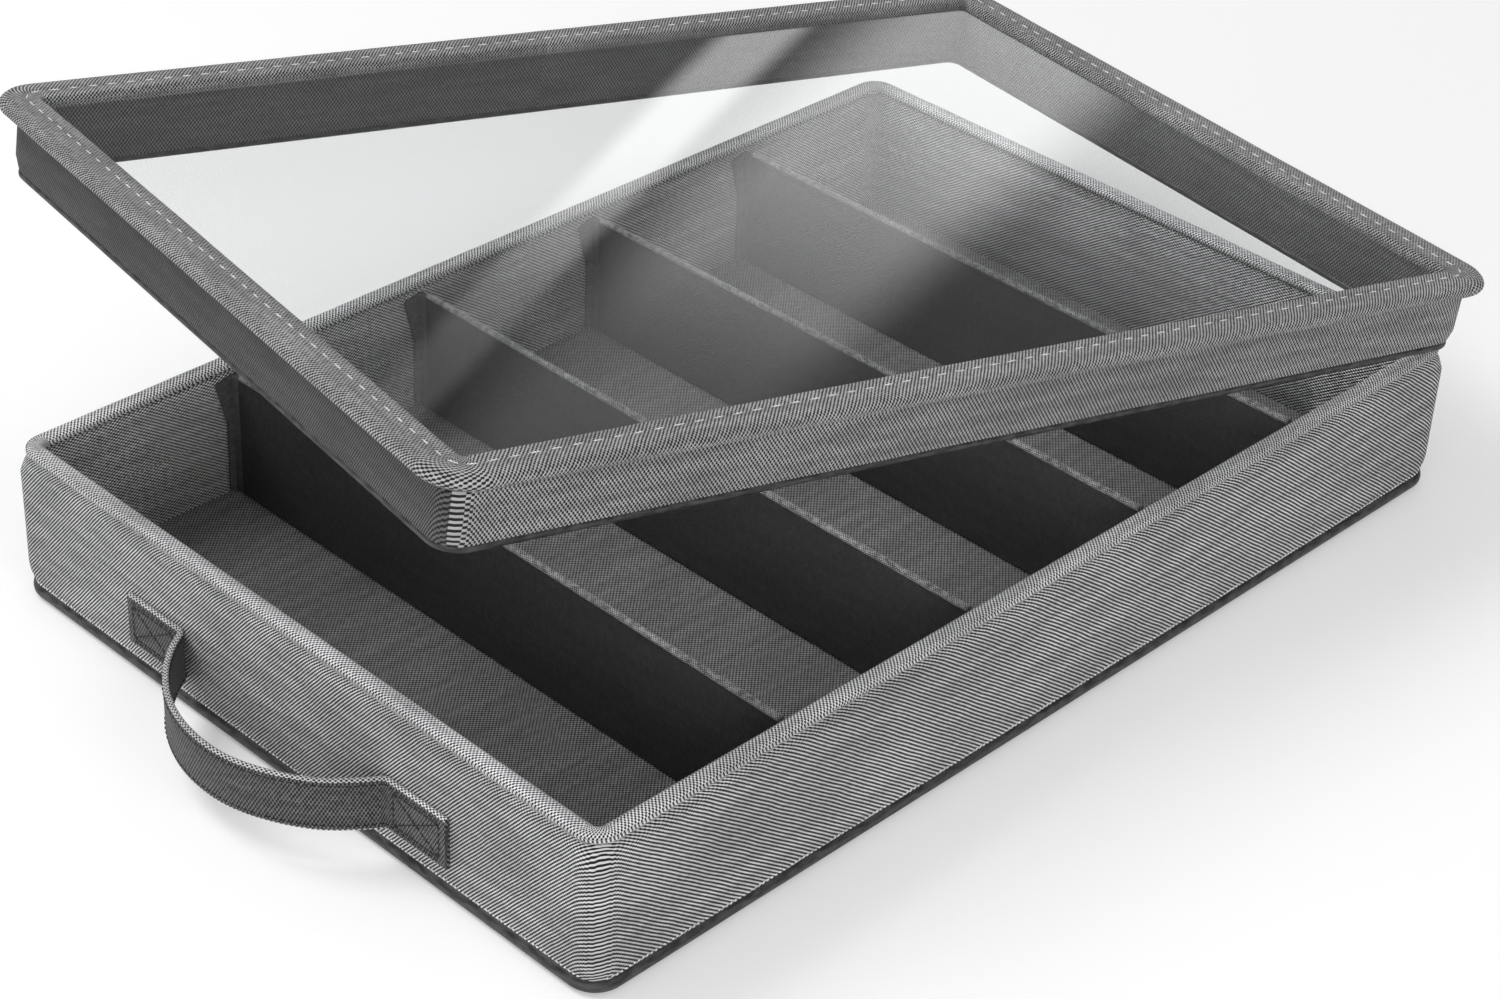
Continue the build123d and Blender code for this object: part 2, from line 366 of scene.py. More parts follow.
def outline_place(outline, distance):
    """Point on the outline, and the direction it faces, at a distance along it."""
    corner = outline[2]
    spot = Vector((0.0, outline[1]))
    facing = QUARTER
    for kind, value in outline_runs(outline):
        length = abs(value[0]) + abs(value[1]) if kind == "run" else corner * QUARTER
        if distance <= length:
            if kind == "run":
                return spot + Vector(value).normalized() * distance, facing
            angle = facing + distance / corner
            return Vector(value) + Vector((math.cos(angle), math.sin(angle))) * corner, angle
        distance -= length
        if kind == "run":
            spot = spot + Vector(value)
        else:
            facing += QUARTER
            spot = Vector(value) + Vector((math.cos(facing), math.sin(facing))) * corner
    return spot, facing


def outline_distance(outline, x, y):
    """Distance along the outline of the place nearest to a point."""
    half_x, half_y, corner = outline
    a, b = half_x - corner, half_y - corner
    arc = corner * QUARTER
    side_x, side_y = 2 * a, 2 * b
    if abs(x) <= a:
        if y > 0:
            return -x if x <= 0 else 4 * arc + 2 * side_x + 2 * side_y - x
        return a + arc + side_y + arc + (x + a)
    if abs(y) <= b:
        if x < 0:
            return a + arc + (b - y)
        return a + arc + side_y + arc + side_x + arc + (y + b)
    cx, cy = math.copysign(a, x), math.copysign(b, y)
    angle = math.atan2(y - cy, x - cx) % (2 * math.pi)
    starts = {(-1, 1): (QUARTER, a), (-1, -1): (2 * QUARTER, a + arc + side_y)}
    starts[(1, -1)] = (3 * QUARTER, a + 2 * arc + side_y + side_x)
    starts[(1, 1)] = (0.0, a + 3 * arc + 2 * side_y + side_x)
    first, base = starts[(int(math.copysign(1, x)), int(math.copysign(1, y)))]
    return base + (angle - first) % (2 * math.pi) * corner


def closed_profile(bm, points):
    """Closed loop of edges through points. The layer 'across' holds the distance round it."""
    layer = bm.verts.layers.float.new("across")
    verts = [bm.verts.new(p) for p in points]
    total = 0.0
    for i, vert in enumerate(verts):
        vert[layer] = total
        total += (verts[(i + 1) % len(verts)].co - vert.co).length
    edges = [bm.edges.new((verts[i], verts[(i + 1) % len(verts)])) for i in range(len(verts))]
    return verts + edges, total


def lay_uv(bm, along, total_along, total_across):
    """UV map in metres: along the outline, and across the profile."""
    across = bm.verts.layers.float["across"]
    uv = bm.loops.layers.uv.new("UVMap")
    for face in bm.faces:
        us = [along(loop.vert.co) for loop in face.loops]
        vs = [loop.vert[across] for loop in face.loops]
        wrap_u = max(us) - min(us) > total_along / 2
        wrap_v = max(vs) - min(vs) > total_across / 2
        for loop, u, v in zip(face.loops, us, vs):
            u += total_along if wrap_u and u < total_along / 2 else 0.0
            v += total_across if wrap_v and v < total_across / 2 else 0.0
            loop[uv].uv = (u * MM, v * MM)


def lay_wall_uv(bm, end_stretch):
    """UV map in metres for a cloth wall. The weave is finer on the ends and meets in a chevron."""
    uv = bm.loops.layers.uv.active
    for face in bm.faces:
        for loop in face.loops:
            co = loop.vert.co
            loop[uv].uv = ((co.x + co.y * end_stretch) * MM, co.z * MM)


def crease(bm, outline, sharp_corner, low, high):
    """Draws the rounded corners of a wall out to a tighter crease between two heights."""
    half_x, half_y, corner = outline
    reach = (corner - sharp_corner) * math.sqrt(2.0) + sharp_corner
    for vert in bm.verts:
        in_x, in_y = abs(vert.co.x) - (half_x - corner), abs(vert.co.y) - (half_y - corner)
        if in_x > 0.01 and in_y > 0.01 and low < vert.co.z < high:
            angle = math.atan2(in_y, in_x)
            share = math.sin(2.0 * angle) ** 2
            fade = min(1.0, (vert.co.z - low) / 5.0, (high - vert.co.z) / 5.0)
            factor = 1.0 + (reach / corner - 1.0) * share * fade
            vert.co.x = math.copysign(half_x - corner + in_x * factor, vert.co.x)
            vert.co.y = math.copysign(half_y - corner + in_y * factor, vert.co.y)


def swell(bm, amount, size, seed, upright=1.0):
    """Moves vertices a little along their normals, as soft cloth over a board does. Sizes in millimetres."""
    bm.normal_update()
    moves = []
    for vert in bm.verts:
        value = noise.noise(vert.co / size + Vector((seed, seed * 0.7, -seed)))
        push = vert.normal * (value * amount)
        push.z *= upright
        moves.append((vert, push))
    for vert, push in moves:
        vert.co += push


def band(outline, section, step=7.0, corner_steps=8):
    """Closed band of a section carried round a rounded rectangle. Section points are (outwards, z)."""
    bm = bmesh.new()
    start = [(0.0, outline[1] + out, z) for out, z in section]
    last, total = closed_profile(bm, start)
    for kind, value in outline_runs(outline):
        if kind == "run":
            length = abs(value[0]) + abs(value[1])
            steps = max(1, round(length / step))
            move = Vector((value[0], value[1], 0.0)) / steps
            made = bmesh.ops.spin(bm, geom=last, cent=(0, 0, 0), axis=UP, dvec=move, angle=0.0, steps=steps)
        else:
            cent = (value[0], value[1], 0.0)
            made = bmesh.ops.spin(bm, geom=last, cent=cent, axis=UP, angle=QUARTER, steps=corner_steps)
        last = made["geom_last"]
    bmesh.ops.remove_doubles(bm, verts=bm.verts, dist=0.001)
    bmesh.ops.recalc_face_normals(bm, faces=bm.faces)
    lay_uv(bm, lambda co: outline_distance(outline, co.x, co.y), outline_length(outline), total)
    return bm


def rounded(left, right, low, high, radius, steps=4, long_steps=1):
    """Section of a rounded rectangle, as (outwards, z) points, from the middle of its inner side."""
    points = [(left, (low + high) / 2)]
    corners = [(left, high, math.pi), (right, high, QUARTER), (right, low, 0.0), (left, low, -QUARTER)]
    for index, (x, z, first) in enumerate(corners):
        cx = x + radius if x == left else x - radius
        cz = z - radius if z == high else z + radius
        for i in range(steps + 1):
            angle = first - QUARTER * i / steps
            points.append((cx + radius * math.cos(angle), cz + radius * math.sin(angle)))
        if index == 1:
            for i in range(1, long_steps):
                points.append((right, high - radius - (high - low - 2 * radius) * i / long_steps))
    return points


def stitch_row(name, outline, out, z, pitch, size, material, body, slot, place=None):
    """Row of stitches round an outline. Size is (length, width, height)."""
    bm = bmesh.new()
    total = outline_length(outline)
    count = round(total / pitch)
    for i in range(count):
        distance = (i + 0.5) * total / count
        spot, facing = outline_place(outline, distance)
        spot = spot + Vector((math.cos(facing), math.sin(facing))) * out
        jitter = noise.noise(Vector((distance * 0.37, out, z))) * 0.12
        turn = Matrix.Rotation(facing + QUARTER + jitter, 4, "Z")
        scale = Matrix.Diagonal((size[0] / 2, size[1] / 2, size[2] / 2, 1.0))
        matrix = Matrix.Translation((spot.x, spot.y, z)) @ turn @ scale
        bmesh.ops.create_icosphere(bm, subdivisions=1, radius=1.0, matrix=matrix)
    return finish_piece(name, bm, material, body, place=place)


# ---- the bin -----------------------------------------------------------------------------------------------


def wall_section():
    """Outer wall, drawn in to the seam under the rim. The first points are on the hidden inside."""
    face = [(-0.5, 3.4), (-0.05, 4.6)]
    face += [(0.0, z) for z in range(8, 47, 3)]
    face += [(-0.05, 47.6), (-0.2, 48.6), (-0.5, 49.5), (-0.85, 50.3)]
    face += [(-1.3, 50.9), (-1.0, 51.4), (-1.6, 52.2)]
    return [(-4.2, 52.2), (-4.2, 26.0), (-4.2, 3.4)] + face


def pucker(bm, low, high, amount, size, seed):
    """Small gathers of cloth beside a seam, between two heights."""
    for vert in bm.verts:
        if low < vert.co.z < high:
            share = math.sin(math.pi * (vert.co.z - low) / (high - low))
            out = Vector((vert.normal.x, vert.normal.y, 0.0))
            vert.co += out * noise.noise(vert.co / size + Vector((seed, 0.0, 0.0))) * amount * share


def build_bin():
    boards = ["bin_wall_board_" + side for side in ("front", "back", "left", "right")]
    bm = band(BIN, wall_section(), 2.5, 12)
    lay_wall_uv(bm, 1.5)
    crease(bm, BIN, 4.5, 4.0, 49.0)
    swell(bm, 0.3, 55.0, 3.0, 0.0)
    bm.normal_update()
    pucker(bm, 47.0, 51.6, 0.45, 2.2, 5.0)
    finish_piece("bin_wall_cloth", bm, bin_twill, "bin", ["bin_outer_cover", *boards])

    bm = band(BIN, rounded(-5.0, -4.25, FLOOR_TOP - 0.3, 49.4, 0.3, 1, 8), 8.0, 8)
    swell(bm, 0.3, 45.0, 8.0, 0.0)
    finish_piece("bin_wall_lining", bm, lining_cloth, "bin", ["bin_inner_lining"])

    bm = band(BIN, rounded(-6.4, -0.5, ROLL_UNDER, BIN_TOP, 1.9, 6, 1), 4.0, 12)
    swell(bm, 0.14, 16.0, 12.0)
    finish_piece("bin_rim_roll_cloth", bm, rim_cloth, "bin", ["bin_rim_roll"])

    bm = band(BIN, rounded(-4.5, 1.0, 0.0, PIPING_TOP, 2.2, 5, 1), 8.0, 12)
    swell(bm, 0.12, 30.0, 2.0, 0.0)
    finish_piece("bin_base_piping_tape", bm, tape_material, "bin", ["bin_base_piping"])

    inside = (187.6, 125.1, 4.0)
    under = (188.4, 125.9, 4.9)
    # The floor lining uses the darker lining copy, a painted shade.
    plate("bin_floor_lining", inside, 3.8, FLOOR_TOP, floor_painted_shade_cloth, "lining", ["bin_base_board"])
    plate("bin_base_cloth_under", under, 0.05, 0.9, base_cloth, "base_cloth", ["bin_base_cloth"])

    rim_stitch = (5.0, 0.5, 0.5)
    base_stitch = (0.9, 0.5, 0.6)
    stitch_row("rim_seam_stitches", BIN, -0.95, 50.75, 6.2, rim_stitch, seam_thread, "bin", "rim_twill")
    stitch_row("base_seam_stitches", BIN, 0.05, 5.35, 1.6, base_stitch, light_thread, "bin", "edge_tape")


def plate(name, outline, low, high, material, slot, replaced, body="bin", place=None, cell=14.0, wave=0.12):
    """Flat rounded plate with a gently uneven face."""
    half_x, half_y, corner = outline
    bm = bmesh.new()
    steps = (max(2, round(2 * half_x / cell)), max(2, round(2 * half_y / cell)))
    matrix = Matrix.Diagonal((half_x, half_y, 1.0, 1.0))
    bmesh.ops.create_grid(bm, x_segments=steps[0], y_segments=steps[1], size=1.0, matrix=matrix)
    square_corners = [v for v in bm.verts if len(v.link_edges) == 2]
    rounding = {"offset": corner, "segments": 6, "profile": 0.5, "affect": "VERTICES", "material": -1}
    bmesh.ops.bevel(bm, geom=square_corners, **rounding)
    made = bmesh.ops.extrude_face_region(bm, geom=bm.faces[:])
    top = [g for g in made["geom"] if isinstance(g, bmesh.types.BMVert)]
    for vert in bm.verts:
        vert.co.z = low
    for vert in top:
        vert.co.z = high
        if wave:
            vert.co.z += noise.noise(vert.co / 40.0) * wave - wave
    bmesh.ops.recalc_face_normals(bm, faces=bm.faces)
    uv = bm.loops.layers.uv.new("UVMap")
    for face in bm.faces:
        for loop in face.loops:
            co = loop.vert.co
            loop[uv].uv = (co.x * MM, co.y * MM + co.z * MM)
    return finish_piece(name, bm, material, body, replaced, place)


# ---- dividers ----------------------------------------------------------------------------------------------


def straight_bar(section, start, move, steps):
    """Bar of a section of points carried along a straight line, closed at its ends."""
    bm = bmesh.new()
    points = [Vector(start) + Vector(p) for p in section]
    first, total = closed_profile(bm, points)
    step = Vector(move) / steps
    loop = [g for g in first if isinstance(g, bmesh.types.BMVert)]
    made = bmesh.ops.spin(bm, geom=first, cent=(0, 0, 0), axis=UP, dvec=step, angle=0.0, steps=steps)
    far = [g for g in made["geom_last"] if isinstance(g, bmesh.types.BMVert)]
    bmesh.ops.contextual_create(bm, geom=loop)
    bmesh.ops.contextual_create(bm, geom=far)
    bmesh.ops.recalc_face_normals(bm, faces=bm.faces)
    axis = Vector(move).normalized()
    lay_uv(bm, lambda co: axis.dot(co), 1e9, total)
    return bm


def build_divider(number, x):
    body = f"divider_{number}"
    nodes = [f"divider_{number}_{part}" for part in ("cloth_cover", "core_board")]
    section = [(out, 0.0, z) for out, z in rounded(-1.1, 1.1, 5.1, 48.4, 0.7, 2, 8)]
    bm = straight_bar(section, (x, -DIVIDER_HALF, 0.0), (0.0, 2 * DIVIDER_HALF, 0.0), 40)
    bow = 0.35 * (1 if number % 2 else -1)
    for vert in bm.verts:
        share = math.cos(vert.co.y / DIVIDER_HALF * QUARTER)
        vert.co.x += bow * share * math.sin(vert.co.z / 48.0 * math.pi * 0.5)
    finish_piece(f"divider_{number}_cloth", bm, divider_cloth, body, nodes)

    top = DIVIDER_TOP
    section = [(out, 0.0, z) for out, z in rounded(-1.2, 1.2, top - 1.9, top, 0.9, 4, 1)]
    bm = straight_bar(section, (x, -DIVIDER_HALF, 0.0), (0.0, 2 * DIVIDER_HALF, 0.0), 60)
    for vert in bm.verts:
        share = math.cos(vert.co.y / DIVIDER_HALF * QUARTER)
        vert.co.x += bow * share
    replaced = [f"divider_{number}_top_binding"]
    finish_piece(f"divider_{number}_binding", bm, binding_cloth, body, replaced)

    for end, side in (("far", 1), ("near", -1)):
        bm = end_tab()
        if side < 0:
            bmesh.ops.rotate(bm, cent=(0, 0, 0), matrix=Matrix.Rotation(math.pi, 3, "Z"), verts=bm.verts)
        bmesh.ops.translate(bm, vec=(x, 0.0, 0.0), verts=bm.verts)
        replaced = [f"divider_{number}_{end}_tab"]
        finish_piece(f"divider_{number}_{end}_fold", bm, tab_cloth, body, replaced)


def end_tab():
    """Folded cloth tab at a divider's far end: a stem to the wall, and a flap that narrows downwards."""
    bm = bmesh.new()
    outline = [(-7.1, 47.0), (-1.1, 48.6), (1.1, 48.6), (1.1, 5.2), (-3.1, 5.2), (-3.1, 31.0)]
    verts = [bm.verts.new((x, 123.6, z)) for x, z in outline]
    flap = bm.faces.new(verts)
    made = bmesh.ops.extrude_face_region(bm, geom=[flap])
    moved = [g for g in made["geom"] if isinstance(g, bmesh.types.BMVert)]
    bmesh.ops.translate(bm, vec=(0.0, 1.0, 0.0), verts=moved)
    stem = Matrix.Translation((0.0, 121.9, 26.9)) @ Matrix.Diagonal((2.0, 4.2, 43.4, 1.0))
    bmesh.ops.create_cube(bm, size=1.0, matrix=stem)
    bmesh.ops.recalc_face_normals(bm, faces=bm.faces)
    sharp = [e for e in bm.edges if len(e.link_faces) == 2 and e.calc_face_angle() > 0.5]
    rounding = {"offset": 0.3, "segments": 2, "profile": 0.5, "affect": "EDGES", "material": -1}
    bmesh.ops.bevel(bm, geom=sharp, **rounding)
    uv = bm.loops.layers.uv.new("UVMap")
    for face in bm.faces:
        for loop in face.loops:
            co = loop.vert.co
            loop[uv].uv = ((co.x + co.y) * MM, co.z * MM)
    return bm


# ---- strap handles -----------------------------------------------------------------------------------------


def strap_path():
    """Centre line of the left strap in plan: a list of straight moves and turns, from its far sewn end."""
    fold_x = PATCH_X - FOLD_RADIUS
    fold_y = math.sqrt((LOOP_RADIUS + FOLD_RADIUS) ** 2 - (fold_x - LOOP_CENTRE_X) ** 2)
    turn = math.atan2(fold_y, LOOP_CENTRE_X - fold_x)
    return [
        ("run", (0.0, fold_y - PATCH_OUTER_Y), 8),
        ("turn", (fold_x, fold_y), -turn, 6),
        ("turn", (LOOP_CENTRE_X, 0.0), 2 * turn, 56),
        ("turn", (fold_x, -fold_y), -turn, 6),
        ("run", (0.0, fold_y - PATCH_OUTER_Y), 8),
    ]


def along_strap(section, path):
    """Strap mesh and its length. Section points are (outwards, z) from the strap's middle line."""
    bm = bmesh.new()
    bm.verts.layers.float.new("along")
    start = [(PATCH_X - out, PATCH_OUTER_Y, STRAP_MID_Z + z) for out, z in section]
    last, total = closed_profile(bm, start)
    distance = bm.verts.layers.float["along"]
    reached = 0.0
    first = [g for g in last if isinstance(g, bmesh.types.BMVert)]
    for item in path:
        if item[0] == "run":
            length = abs(item[1][0]) + abs(item[1][1])
            step, steps, angle, cent = Vector((*item[1], 0.0)) / item[2], item[2], 0.0, (0, 0, 0)
        else:
            cent, angle, steps = (*item[1], 0.0), item[2], item[3]
            radius = FOLD_RADIUS if steps == 6 else LOOP_RADIUS
            length, step = abs(angle) * radius, (0, 0, 0)
        part = angle / steps
        for _ in range(steps):
            made = bmesh.ops.spin(bm, geom=last, cent=cent, axis=UP, dvec=step, angle=part, steps=1)
            last = made["geom_last"]
            reached += length / steps
            for item_made in last:
                if isinstance(item_made, bmesh.types.BMVert):
                    item_made[distance] = reached
    far = [g for g in last if isinstance(g, bmesh.types.BMVert)]
    bmesh.ops.contextual_create(bm, geom=first)
    bmesh.ops.contextual_create(bm, geom=far)
    bmesh.ops.recalc_face_normals(bm, faces=bm.faces)
    across = bm.verts.layers.float["across"]
    uv = bm.loops.layers.uv.new("UVMap")
    for face in bm.faces:
        vs = [loop.vert[across] for loop in face.loops]
        wrap = max(vs) - min(vs) > total / 2
        for loop, v in zip(face.loops, vs):
            v += total if wrap and v < total / 2 else 0.0
            loop[uv].uv = (loop.vert[distance] * MM, v * MM)
    return bm, reached


def strap_spot(path, distance):
    """Point and facing angle of the strap's middle line at a distance along it."""
    x, y, facing = PATCH_X, PATCH_OUTER_Y, math.pi
    for item in path:
        if item[0] == "run":
            length = abs(item[1][0]) + abs(item[1][1])
            share = min(1.0, distance / length)
            x, y = x + item[1][0] * share, y + item[1][1] * share
        else:
            cx, cy = item[1]
            radius = math.hypot(x - cx, y - cy)
            length = abs(item[2]) * radius
            share = min(1.0, distance / length)
            angle = math.atan2(y - cy, x - cx) + item[2] * share
            x, y = cx + radius * math.cos(angle), cy + radius * math.sin(angle)
            facing += item[2] * share
        distance -= length
        if distance <= 0:
            break
    return Vector((x, y)), facing


def add_stitch(bm, centre, turn, size):
    scale = Matrix.Diagonal((size[0] / 2, size[1] / 2, size[2] / 2, 1.0))
    matrix = Matrix.Translation(centre) @ turn @ scale
    bmesh.ops.create_icosphere(bm, subdivisions=1, radius=1.0, matrix=matrix)


def strap_stitches(path, length):
    """Edge stitching along both edges of the strap, on its outer face, and boxed crosses on the sewn ends."""
    bm = bmesh.new()
    pitch = 2.3
    for i in range(int(length / pitch)):
        distance = (i + 0.5) * pitch
        if distance < 3.0 or distance > length - 3.0:
            continue
        spot, facing = strap_spot(path, distance)
        outward = Vector((math.cos(facing), math.sin(facing)))
        for side in (-1, 1):
            for face in (-1, 1):
                place = spot + outward * face * 1.0
                centre = (place.x, place.y, STRAP_MID_Z + side * (STRAP_HALF - 2.0))
                add_stitch(bm, centre, Matrix.Rotation(facing + QUARTER, 4, "Z"), (1.9, 0.5, 0.42))
    half = (STRAP_HALF - 3.2, 9.6)
    for side in (-1, 1):
        middle = side * (PATCH_OUTER_Y - 12.2)
        corners = [(-half[1], -half[0]), (half[1], -half[0]), (half[1], half[0]), (-half[1], half[0])]
        lines = [(corners[i], corners[(i + 1) % 4]) for i in range(4)]
        lines += [(corners[0], corners[2]), (corners[1], corners[3])]
        for a, b in lines:
            reach = math.hypot(b[0] - a[0], b[1] - a[1])
            slope = math.atan2(b[1] - a[1], b[0] - a[0])
            count = round(reach / 2.2)
            for i in range(count):
                share = (i + 0.5) / count
                across = middle + a[0] + (b[0] - a[0]) * share
                up = STRAP_MID_Z + a[1] + (b[1] - a[1]) * share
                centre = (PATCH_X - 1.02, across, up)
                turn = Matrix.Rotation(slope, 4, "X") @ Matrix.Rotation(QUARTER, 4, "Z")
                add_stitch(bm, centre, turn, (2.1, 0.55, 0.6))
    return bm


def build_handle(side):
    """Strap handle on one end. It bends beside the wall, between the bin and its loop."""
    body = f"handle_{side}"
    path = strap_path()
    body_section = rounded(-0.9, 0.9, -STRAP_HALF, STRAP_HALF, 0.75, 3, 6)
    bm, length = along_strap(body_section, path)
    across = bm.verts.layers.float["across"]
    bm.normal_update()
    for face in bm.faces:
        middle = face.calc_center_median().z - STRAP_MID_Z
        # Faces turned in toward the wall take the darker strap copy, a painted shade.
        turned_in_painted_shade = 2 if face.normal.x > 0.1 else 0
        face.material_index = 1 if abs(middle) > STRAP_HALF - 1.3 else turned_in_painted_shade
    for vert in bm.verts:
        vert.co.z += 0.25 * noise.noise(Vector((vert.co.x / 14.0, vert.co.y / 14.0, 2.0)))
    names = [f"handle_{side}_loop", f"handle_{side}_near_sewn_end", f"handle_{side}_far_sewn_end"]
    turn = Matrix.Identity(4) if side == "left" else Matrix.Rotation(math.pi, 4, "Z")
    cloths = [strap_cloth, strap_edge, strap_inside_painted_shade]
    strap = finish_piece(f"handle_{side}_strap", bm, cloths, None, names, turn)
    thread_bm = strap_stitches(path, length)
    sewing = finish_piece(f"handle_{side}_stitches", thread_bm, dark_thread, None, (), turn)
    sign = -1 if side == "left" else 1
    for piece in (strap, sewing):
        start = (sign * 195.0 * MM, 0.0, STRAP_MID_Z * MM)
        end = (sign * 209.0 * MM, 0.0, STRAP_MID_Z * MM)
        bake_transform(piece, "bin", body, start=start, end=end)


# ---- the lid, made level on the rim and then turned to its place -------------------------------------------


def flange_section():
    """Section of the flange: a flat strip from the window to a rounded nose."""
    top = LID_TOP
    under = top - 5.0
    points = [(-2.0, under), (-5.6, under + 0.1), (-6.2, under + 0.6), (-6.4, under + 2.4)]
    points += [(-6.35, top - 0.9), (-6.1, top - 0.45), (-5.5, top - 0.25), (-4.2, top - 0.2)]
    points += [(-2.6, top - 0.25), (-1.6, top - 0.45)]
    points += [(-0.8, top - 0.2), (0.8, top - 0.05), (2.6, top), (4.2, top - 0.15), (5.5, top - 0.6)]
    points += [(6.4, top - 1.4), (6.9, top - 2.3), (6.9, top - 3.1), (6.4, top - 4.0), (5.5, top - 4.7)]
    points += [(4.2, under), (2.2, under), (0.2, under)]
    return points


def build_lid():
    boards = ["lid_skirt_board_" + side for side in ("front", "back", "left", "right")]
    face = [(-0.1, 56.4)] + [(0.0, 58.0 + 2.5 * i) for i in range(7)] + [(-0.1, 75.0), (-0.4, 76.2)]
    bm = band(LID, [(-4.7, 76.2), (-4.7, 66.0), (-4.7, 56.4)] + face, 6.0, 10)
    lay_wall_uv(bm, 1.38)
    crease(bm, LID, 5.0, 55.5, 78.0)
    swell(bm, 0.25, 45.0, 21.0, 0.0)
    # End panels take the darker lid cloth copy, a painted shade.
    for panel in bm.faces:
        panel.material_index = 1 if abs(panel.normal.x) > 0.72 else 0
    replaced = ["lid_skirt_cover", *boards]
    finish_piece("lid_skirt_cloth", bm, [lid_cloth, lid_end_painted_shade_cloth], "lid", replaced, LID_PLACE)

    bm = band(LID, rounded(-5.5, -4.75, 56.2, 76.2, 0.3, 1, 6), 8.0, 8)
    swell(bm, 0.25, 40.0, 25.0, 0.0)
    finish_piece("lid_skirt_inside", bm, lid_inside_cloth, "lid", ["lid_skirt_lining"], LID_PLACE)

    bm = band(LID, rounded(-5.75, 0.3, LID_LOW, 56.9, 1.1, 5, 1), 6.0, 10)
    swell(bm, 0.15, 24.0, 31.0, 0.0)
    finish_piece("lid_bottom_binding", bm, tape_material, "lid", ["lid_bottom_tape"], LID_PLACE)

    bm = band(FLANGE, flange_section(), 4.0, 12)
    swell(bm, 0.08, 22.0, 41.0)
    replaced = ["lid_flange_cover", "lid_flange_core"]
    finish_piece("lid_flange_cloth", bm, flange_cloth, "lid", replaced, LID_PLACE)

    outline = (189.0, 126.5, 3.0)
    low, high = LID_TOP - 3.1, LID_TOP - 2.6
    film = (film_material, "clear_film", ["lid_window_film"])
    plate("lid_window", outline, low, high, *film, "lid", LID_PLACE, 30.0, 0.0)

    stitch = (3.8, 0.5, 0.45)
    thread_place = (light_thread, "lid", "rim_twill", LID_PLACE)
    stitch_row("flange_stitches", FLANGE, -1.6, LID_TOP - 0.3, 6.6, stitch, *thread_place)


# ---- stage, light and camera -------------------------------------------------------------------------------

WORLD_LIGHT = 0.55
# Each soft box of the mirrored studio: from, to and softness in degrees, then its power.
SOFT_BOXES = ((34.0, 38.4, 0.9, 0.95), (39.3, 40.4, 0.25, 1.05))


def build_stage():
    """Pale floor that keeps the chest's shadow and shows white to the camera."""
    bm = bmesh.new()
    bmesh.ops.create_grid(bm, x_segments=1, y_segments=1, size=6.0)
    mesh = bpy.data.meshes.new("floor")
    bm.to_mesh(mesh)
    bm.free()
    floor = bpy.data.objects.new("floor", mesh)
    floor.location.z = -0.0004
    bpy.context.scene.collection.objects.link(floor)
    material = bpy.data.materials.new("floor white")
    material.use_nodes = True
    tree = material.node_tree
    shader = tree.nodes["Principled BSDF"]
    shader.inputs["Base Color"].default_value = (0.80, 0.80, 0.80, 1.0)
    shader.inputs["Roughness"].default_value = 0.35
    glow = tree.nodes.new("ShaderNodeEmission")
    path = tree.nodes.new("ShaderNodeLightPath")
    seen = calc(tree, "MAXIMUM", path.outputs["Is Camera Ray"], path.outputs["Is Glossy Ray"])
    seen = calc(tree, "MAXIMUM", seen, path.outputs["Is Transmission Ray"])
    first = calc(tree, "LESS_THAN", path.outputs["Diffuse Depth"], 0.5)
    seen = calc(tree, "MULTIPLY", seen, first)
    tree.links.new(calc(tree, "MULTIPLY", seen, 0.25), glow.inputs["Strength"])
    add = tree.nodes.new("ShaderNodeAddShader")
    tree.links.new(shader.outputs[0], add.inputs[0])
    tree.links.new(glow.outputs[0], add.inputs[1])
    tree.links.new(add.outputs[0], tree.nodes["Material Output"].inputs["Surface"])
    mesh.materials.append(material)

    world = bpy.data.worlds.new("studio")
    bpy.context.scene.world = world
    world.use_nodes = True
    tree = world.node_tree
    background = tree.nodes["Background"]
    background.inputs["Color"].default_value = (1.0, 1.0, 1.0, 1.0)
    path = tree.nodes.new("ShaderNodeLightPath")
    seen = calc(tree, "MAXIMUM", path.outputs["Is Camera Ray"], path.outputs["Is Transmission Ray"])
    first = calc(tree, "LESS_THAN", path.outputs["Diffuse Depth"], 0.5)
    direct = calc(tree, "LESS_THAN", path.outputs["Glossy Depth"], 0.5)
    seen = calc(tree, "MULTIPLY", seen, calc(tree, "MULTIPLY", first, direct))
    strength = calc(tree, "MULTIPLY_ADD", seen, 1.0 - WORLD_LIGHT, WORLD_LIGHT)
    mirrored = calc(tree, "MULTIPLY", first, calc(tree, "SUBTRACT", 1.0, direct))
    boxes = calc(tree, "SUBTRACT", soft_boxes(tree), strength)
    strength = calc(tree, "MULTIPLY_ADD", mirrored, boxes, strength)
    tree.links.new(strength, background.inputs["Strength"])


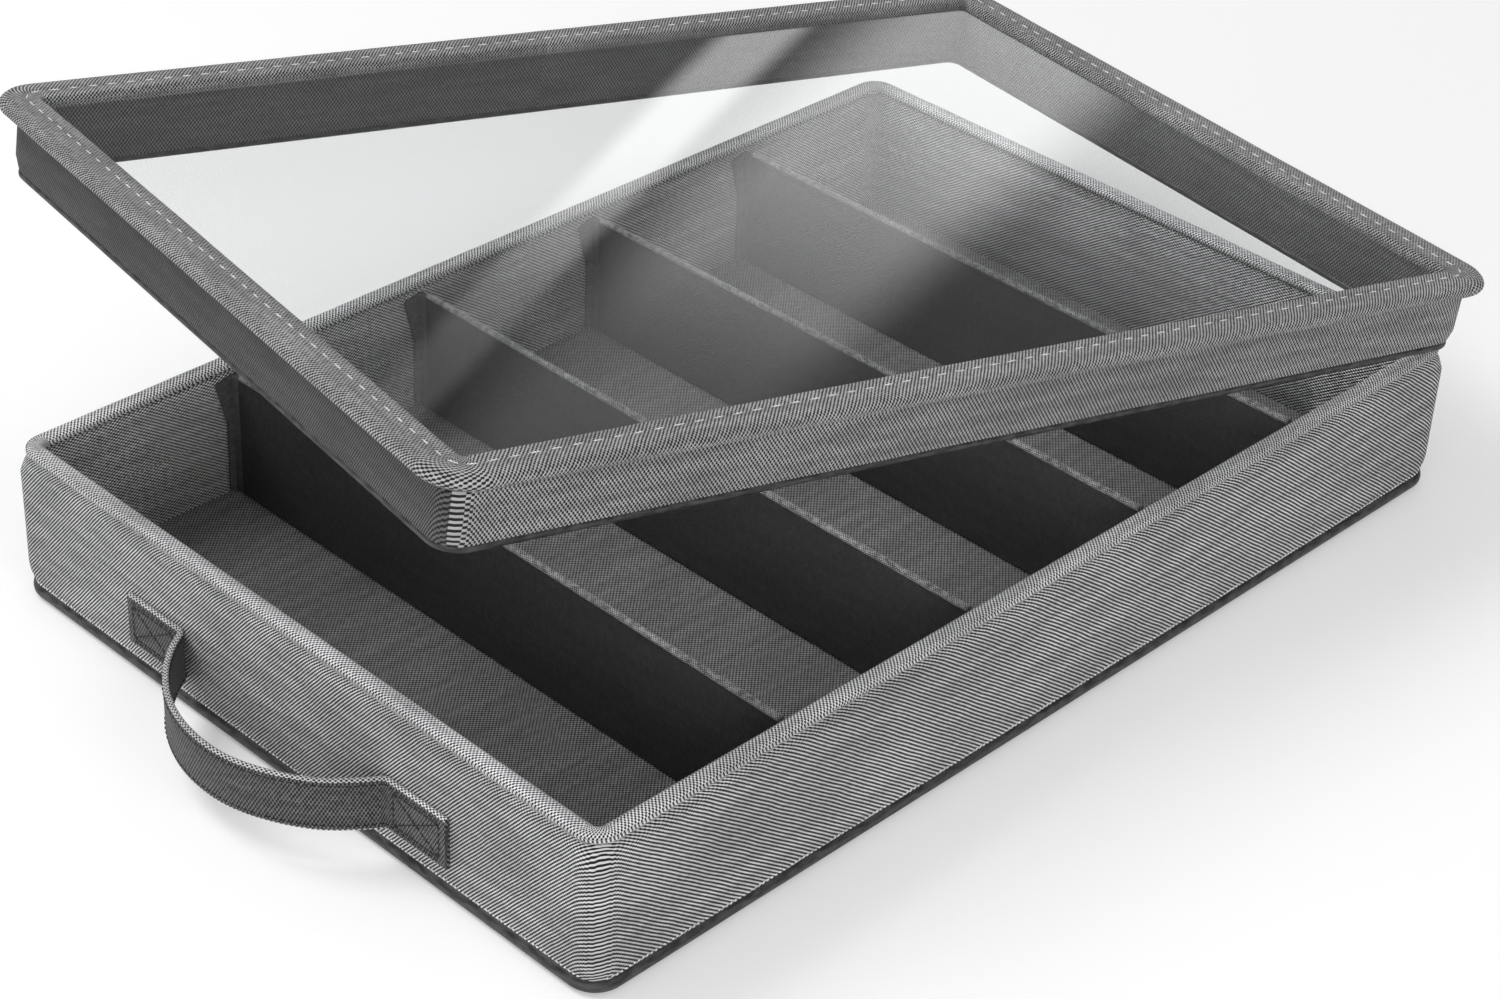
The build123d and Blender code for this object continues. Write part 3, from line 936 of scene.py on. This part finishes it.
def soft_boxes(tree):
    """Brightness that gloss mirrors: a dim studio with a wide and a narrow soft box behind the chest."""
    direction = tree.nodes.new("ShaderNodeTexCoord").outputs["Generated"]
    split = tree.nodes.new("ShaderNodeSeparateXYZ")
    tree.links.new(direction, split.inputs[0])
    side = calc(tree, "ARCTAN2", split.outputs[1], split.outputs[0])
    rise = calc(tree, "ARCSINE", split.outputs[2])
    leaning = calc(tree, "MULTIPLY_ADD", rise, -0.62, calc(tree, "ADD", side, 0.62 * math.radians(14.0)))
    total = 0.13
    for low, high, soft, power in SOFT_BOXES:
        low, high, soft = (math.radians(v) for v in (low, high, soft))
        inside = calc(
            tree,
            "MULTIPLY",
            ramp(tree, leaning, low - soft, low + soft),
            ramp(tree, leaning, high - soft, high + soft, 1.0, 0.0),
        )
        near = ramp(tree, rise, math.radians(15.0), math.radians(20.0), 1.0, 0.25)
        total = calc(tree, "MULTIPLY_ADD", inside, calc(tree, "MULTIPLY", near, power), total)
    return total


def area_light(name, place, target, size, power):
    data = bpy.data.lights.new(name, "AREA")
    data.shape = "RECTANGLE"
    data.size, data.size_y = size
    data.energy = power
    lamp = bpy.data.objects.new(name, data)
    lamp.location = place
    lamp.rotation_mode = "QUATERNION"
    lamp.rotation_quaternion = (Vector(target) - Vector(place)).to_track_quat("-Z", "Y")
    bpy.context.scene.collection.objects.link(lamp)
    return lamp


def build_light():
    area_light("key", (-0.7, 1.1, 1.7), (0.0, 0.0, 0.0), (1.0, 1.0), 20.0)
    area_light("front fill", (-0.6, -1.8, 1.1), (0.0, 0.0, 0.05), (1.5, 1.0), 11.0)
    area_light("end fill", (-1.7, -0.9, 0.5), (-0.19, -0.05, 0.03), (1.0, 0.6), 7.0)


def build_camera():
    """The photograph's viewing place, solved from the chest's edges."""
    data = bpy.data.cameras.new("camera")
    data.sensor_width = 36.0
    data.lens = 36.0 * 3279.3 / 1500.0
    camera = bpy.data.objects.new("camera", data)
    right = Vector((0.70381, -0.70921, 0.04086))
    down = Vector((-0.36812, -0.4133, -0.83287))
    forward = Vector((0.60757, 0.57114, -0.55196))
    turn = Matrix((right, -down, -forward)).transposed().to_4x4()
    camera.matrix_world = Matrix.Translation(Vector((-645.8, -604.4, 597.4)) * MM) @ turn
    data.clip_start, data.clip_end = 0.05, 30.0
    bpy.context.scene.collection.objects.link(camera)
    bpy.context.scene.camera = camera


build_bin()
for number, x in enumerate(DIVIDER_X, start=1):
    build_divider(number, x)
for side in ("left", "right"):
    build_handle(side)
build_lid()
build_stage()
build_light()
build_camera()

bpy.context.scene.view_settings.view_transform = "Standard"
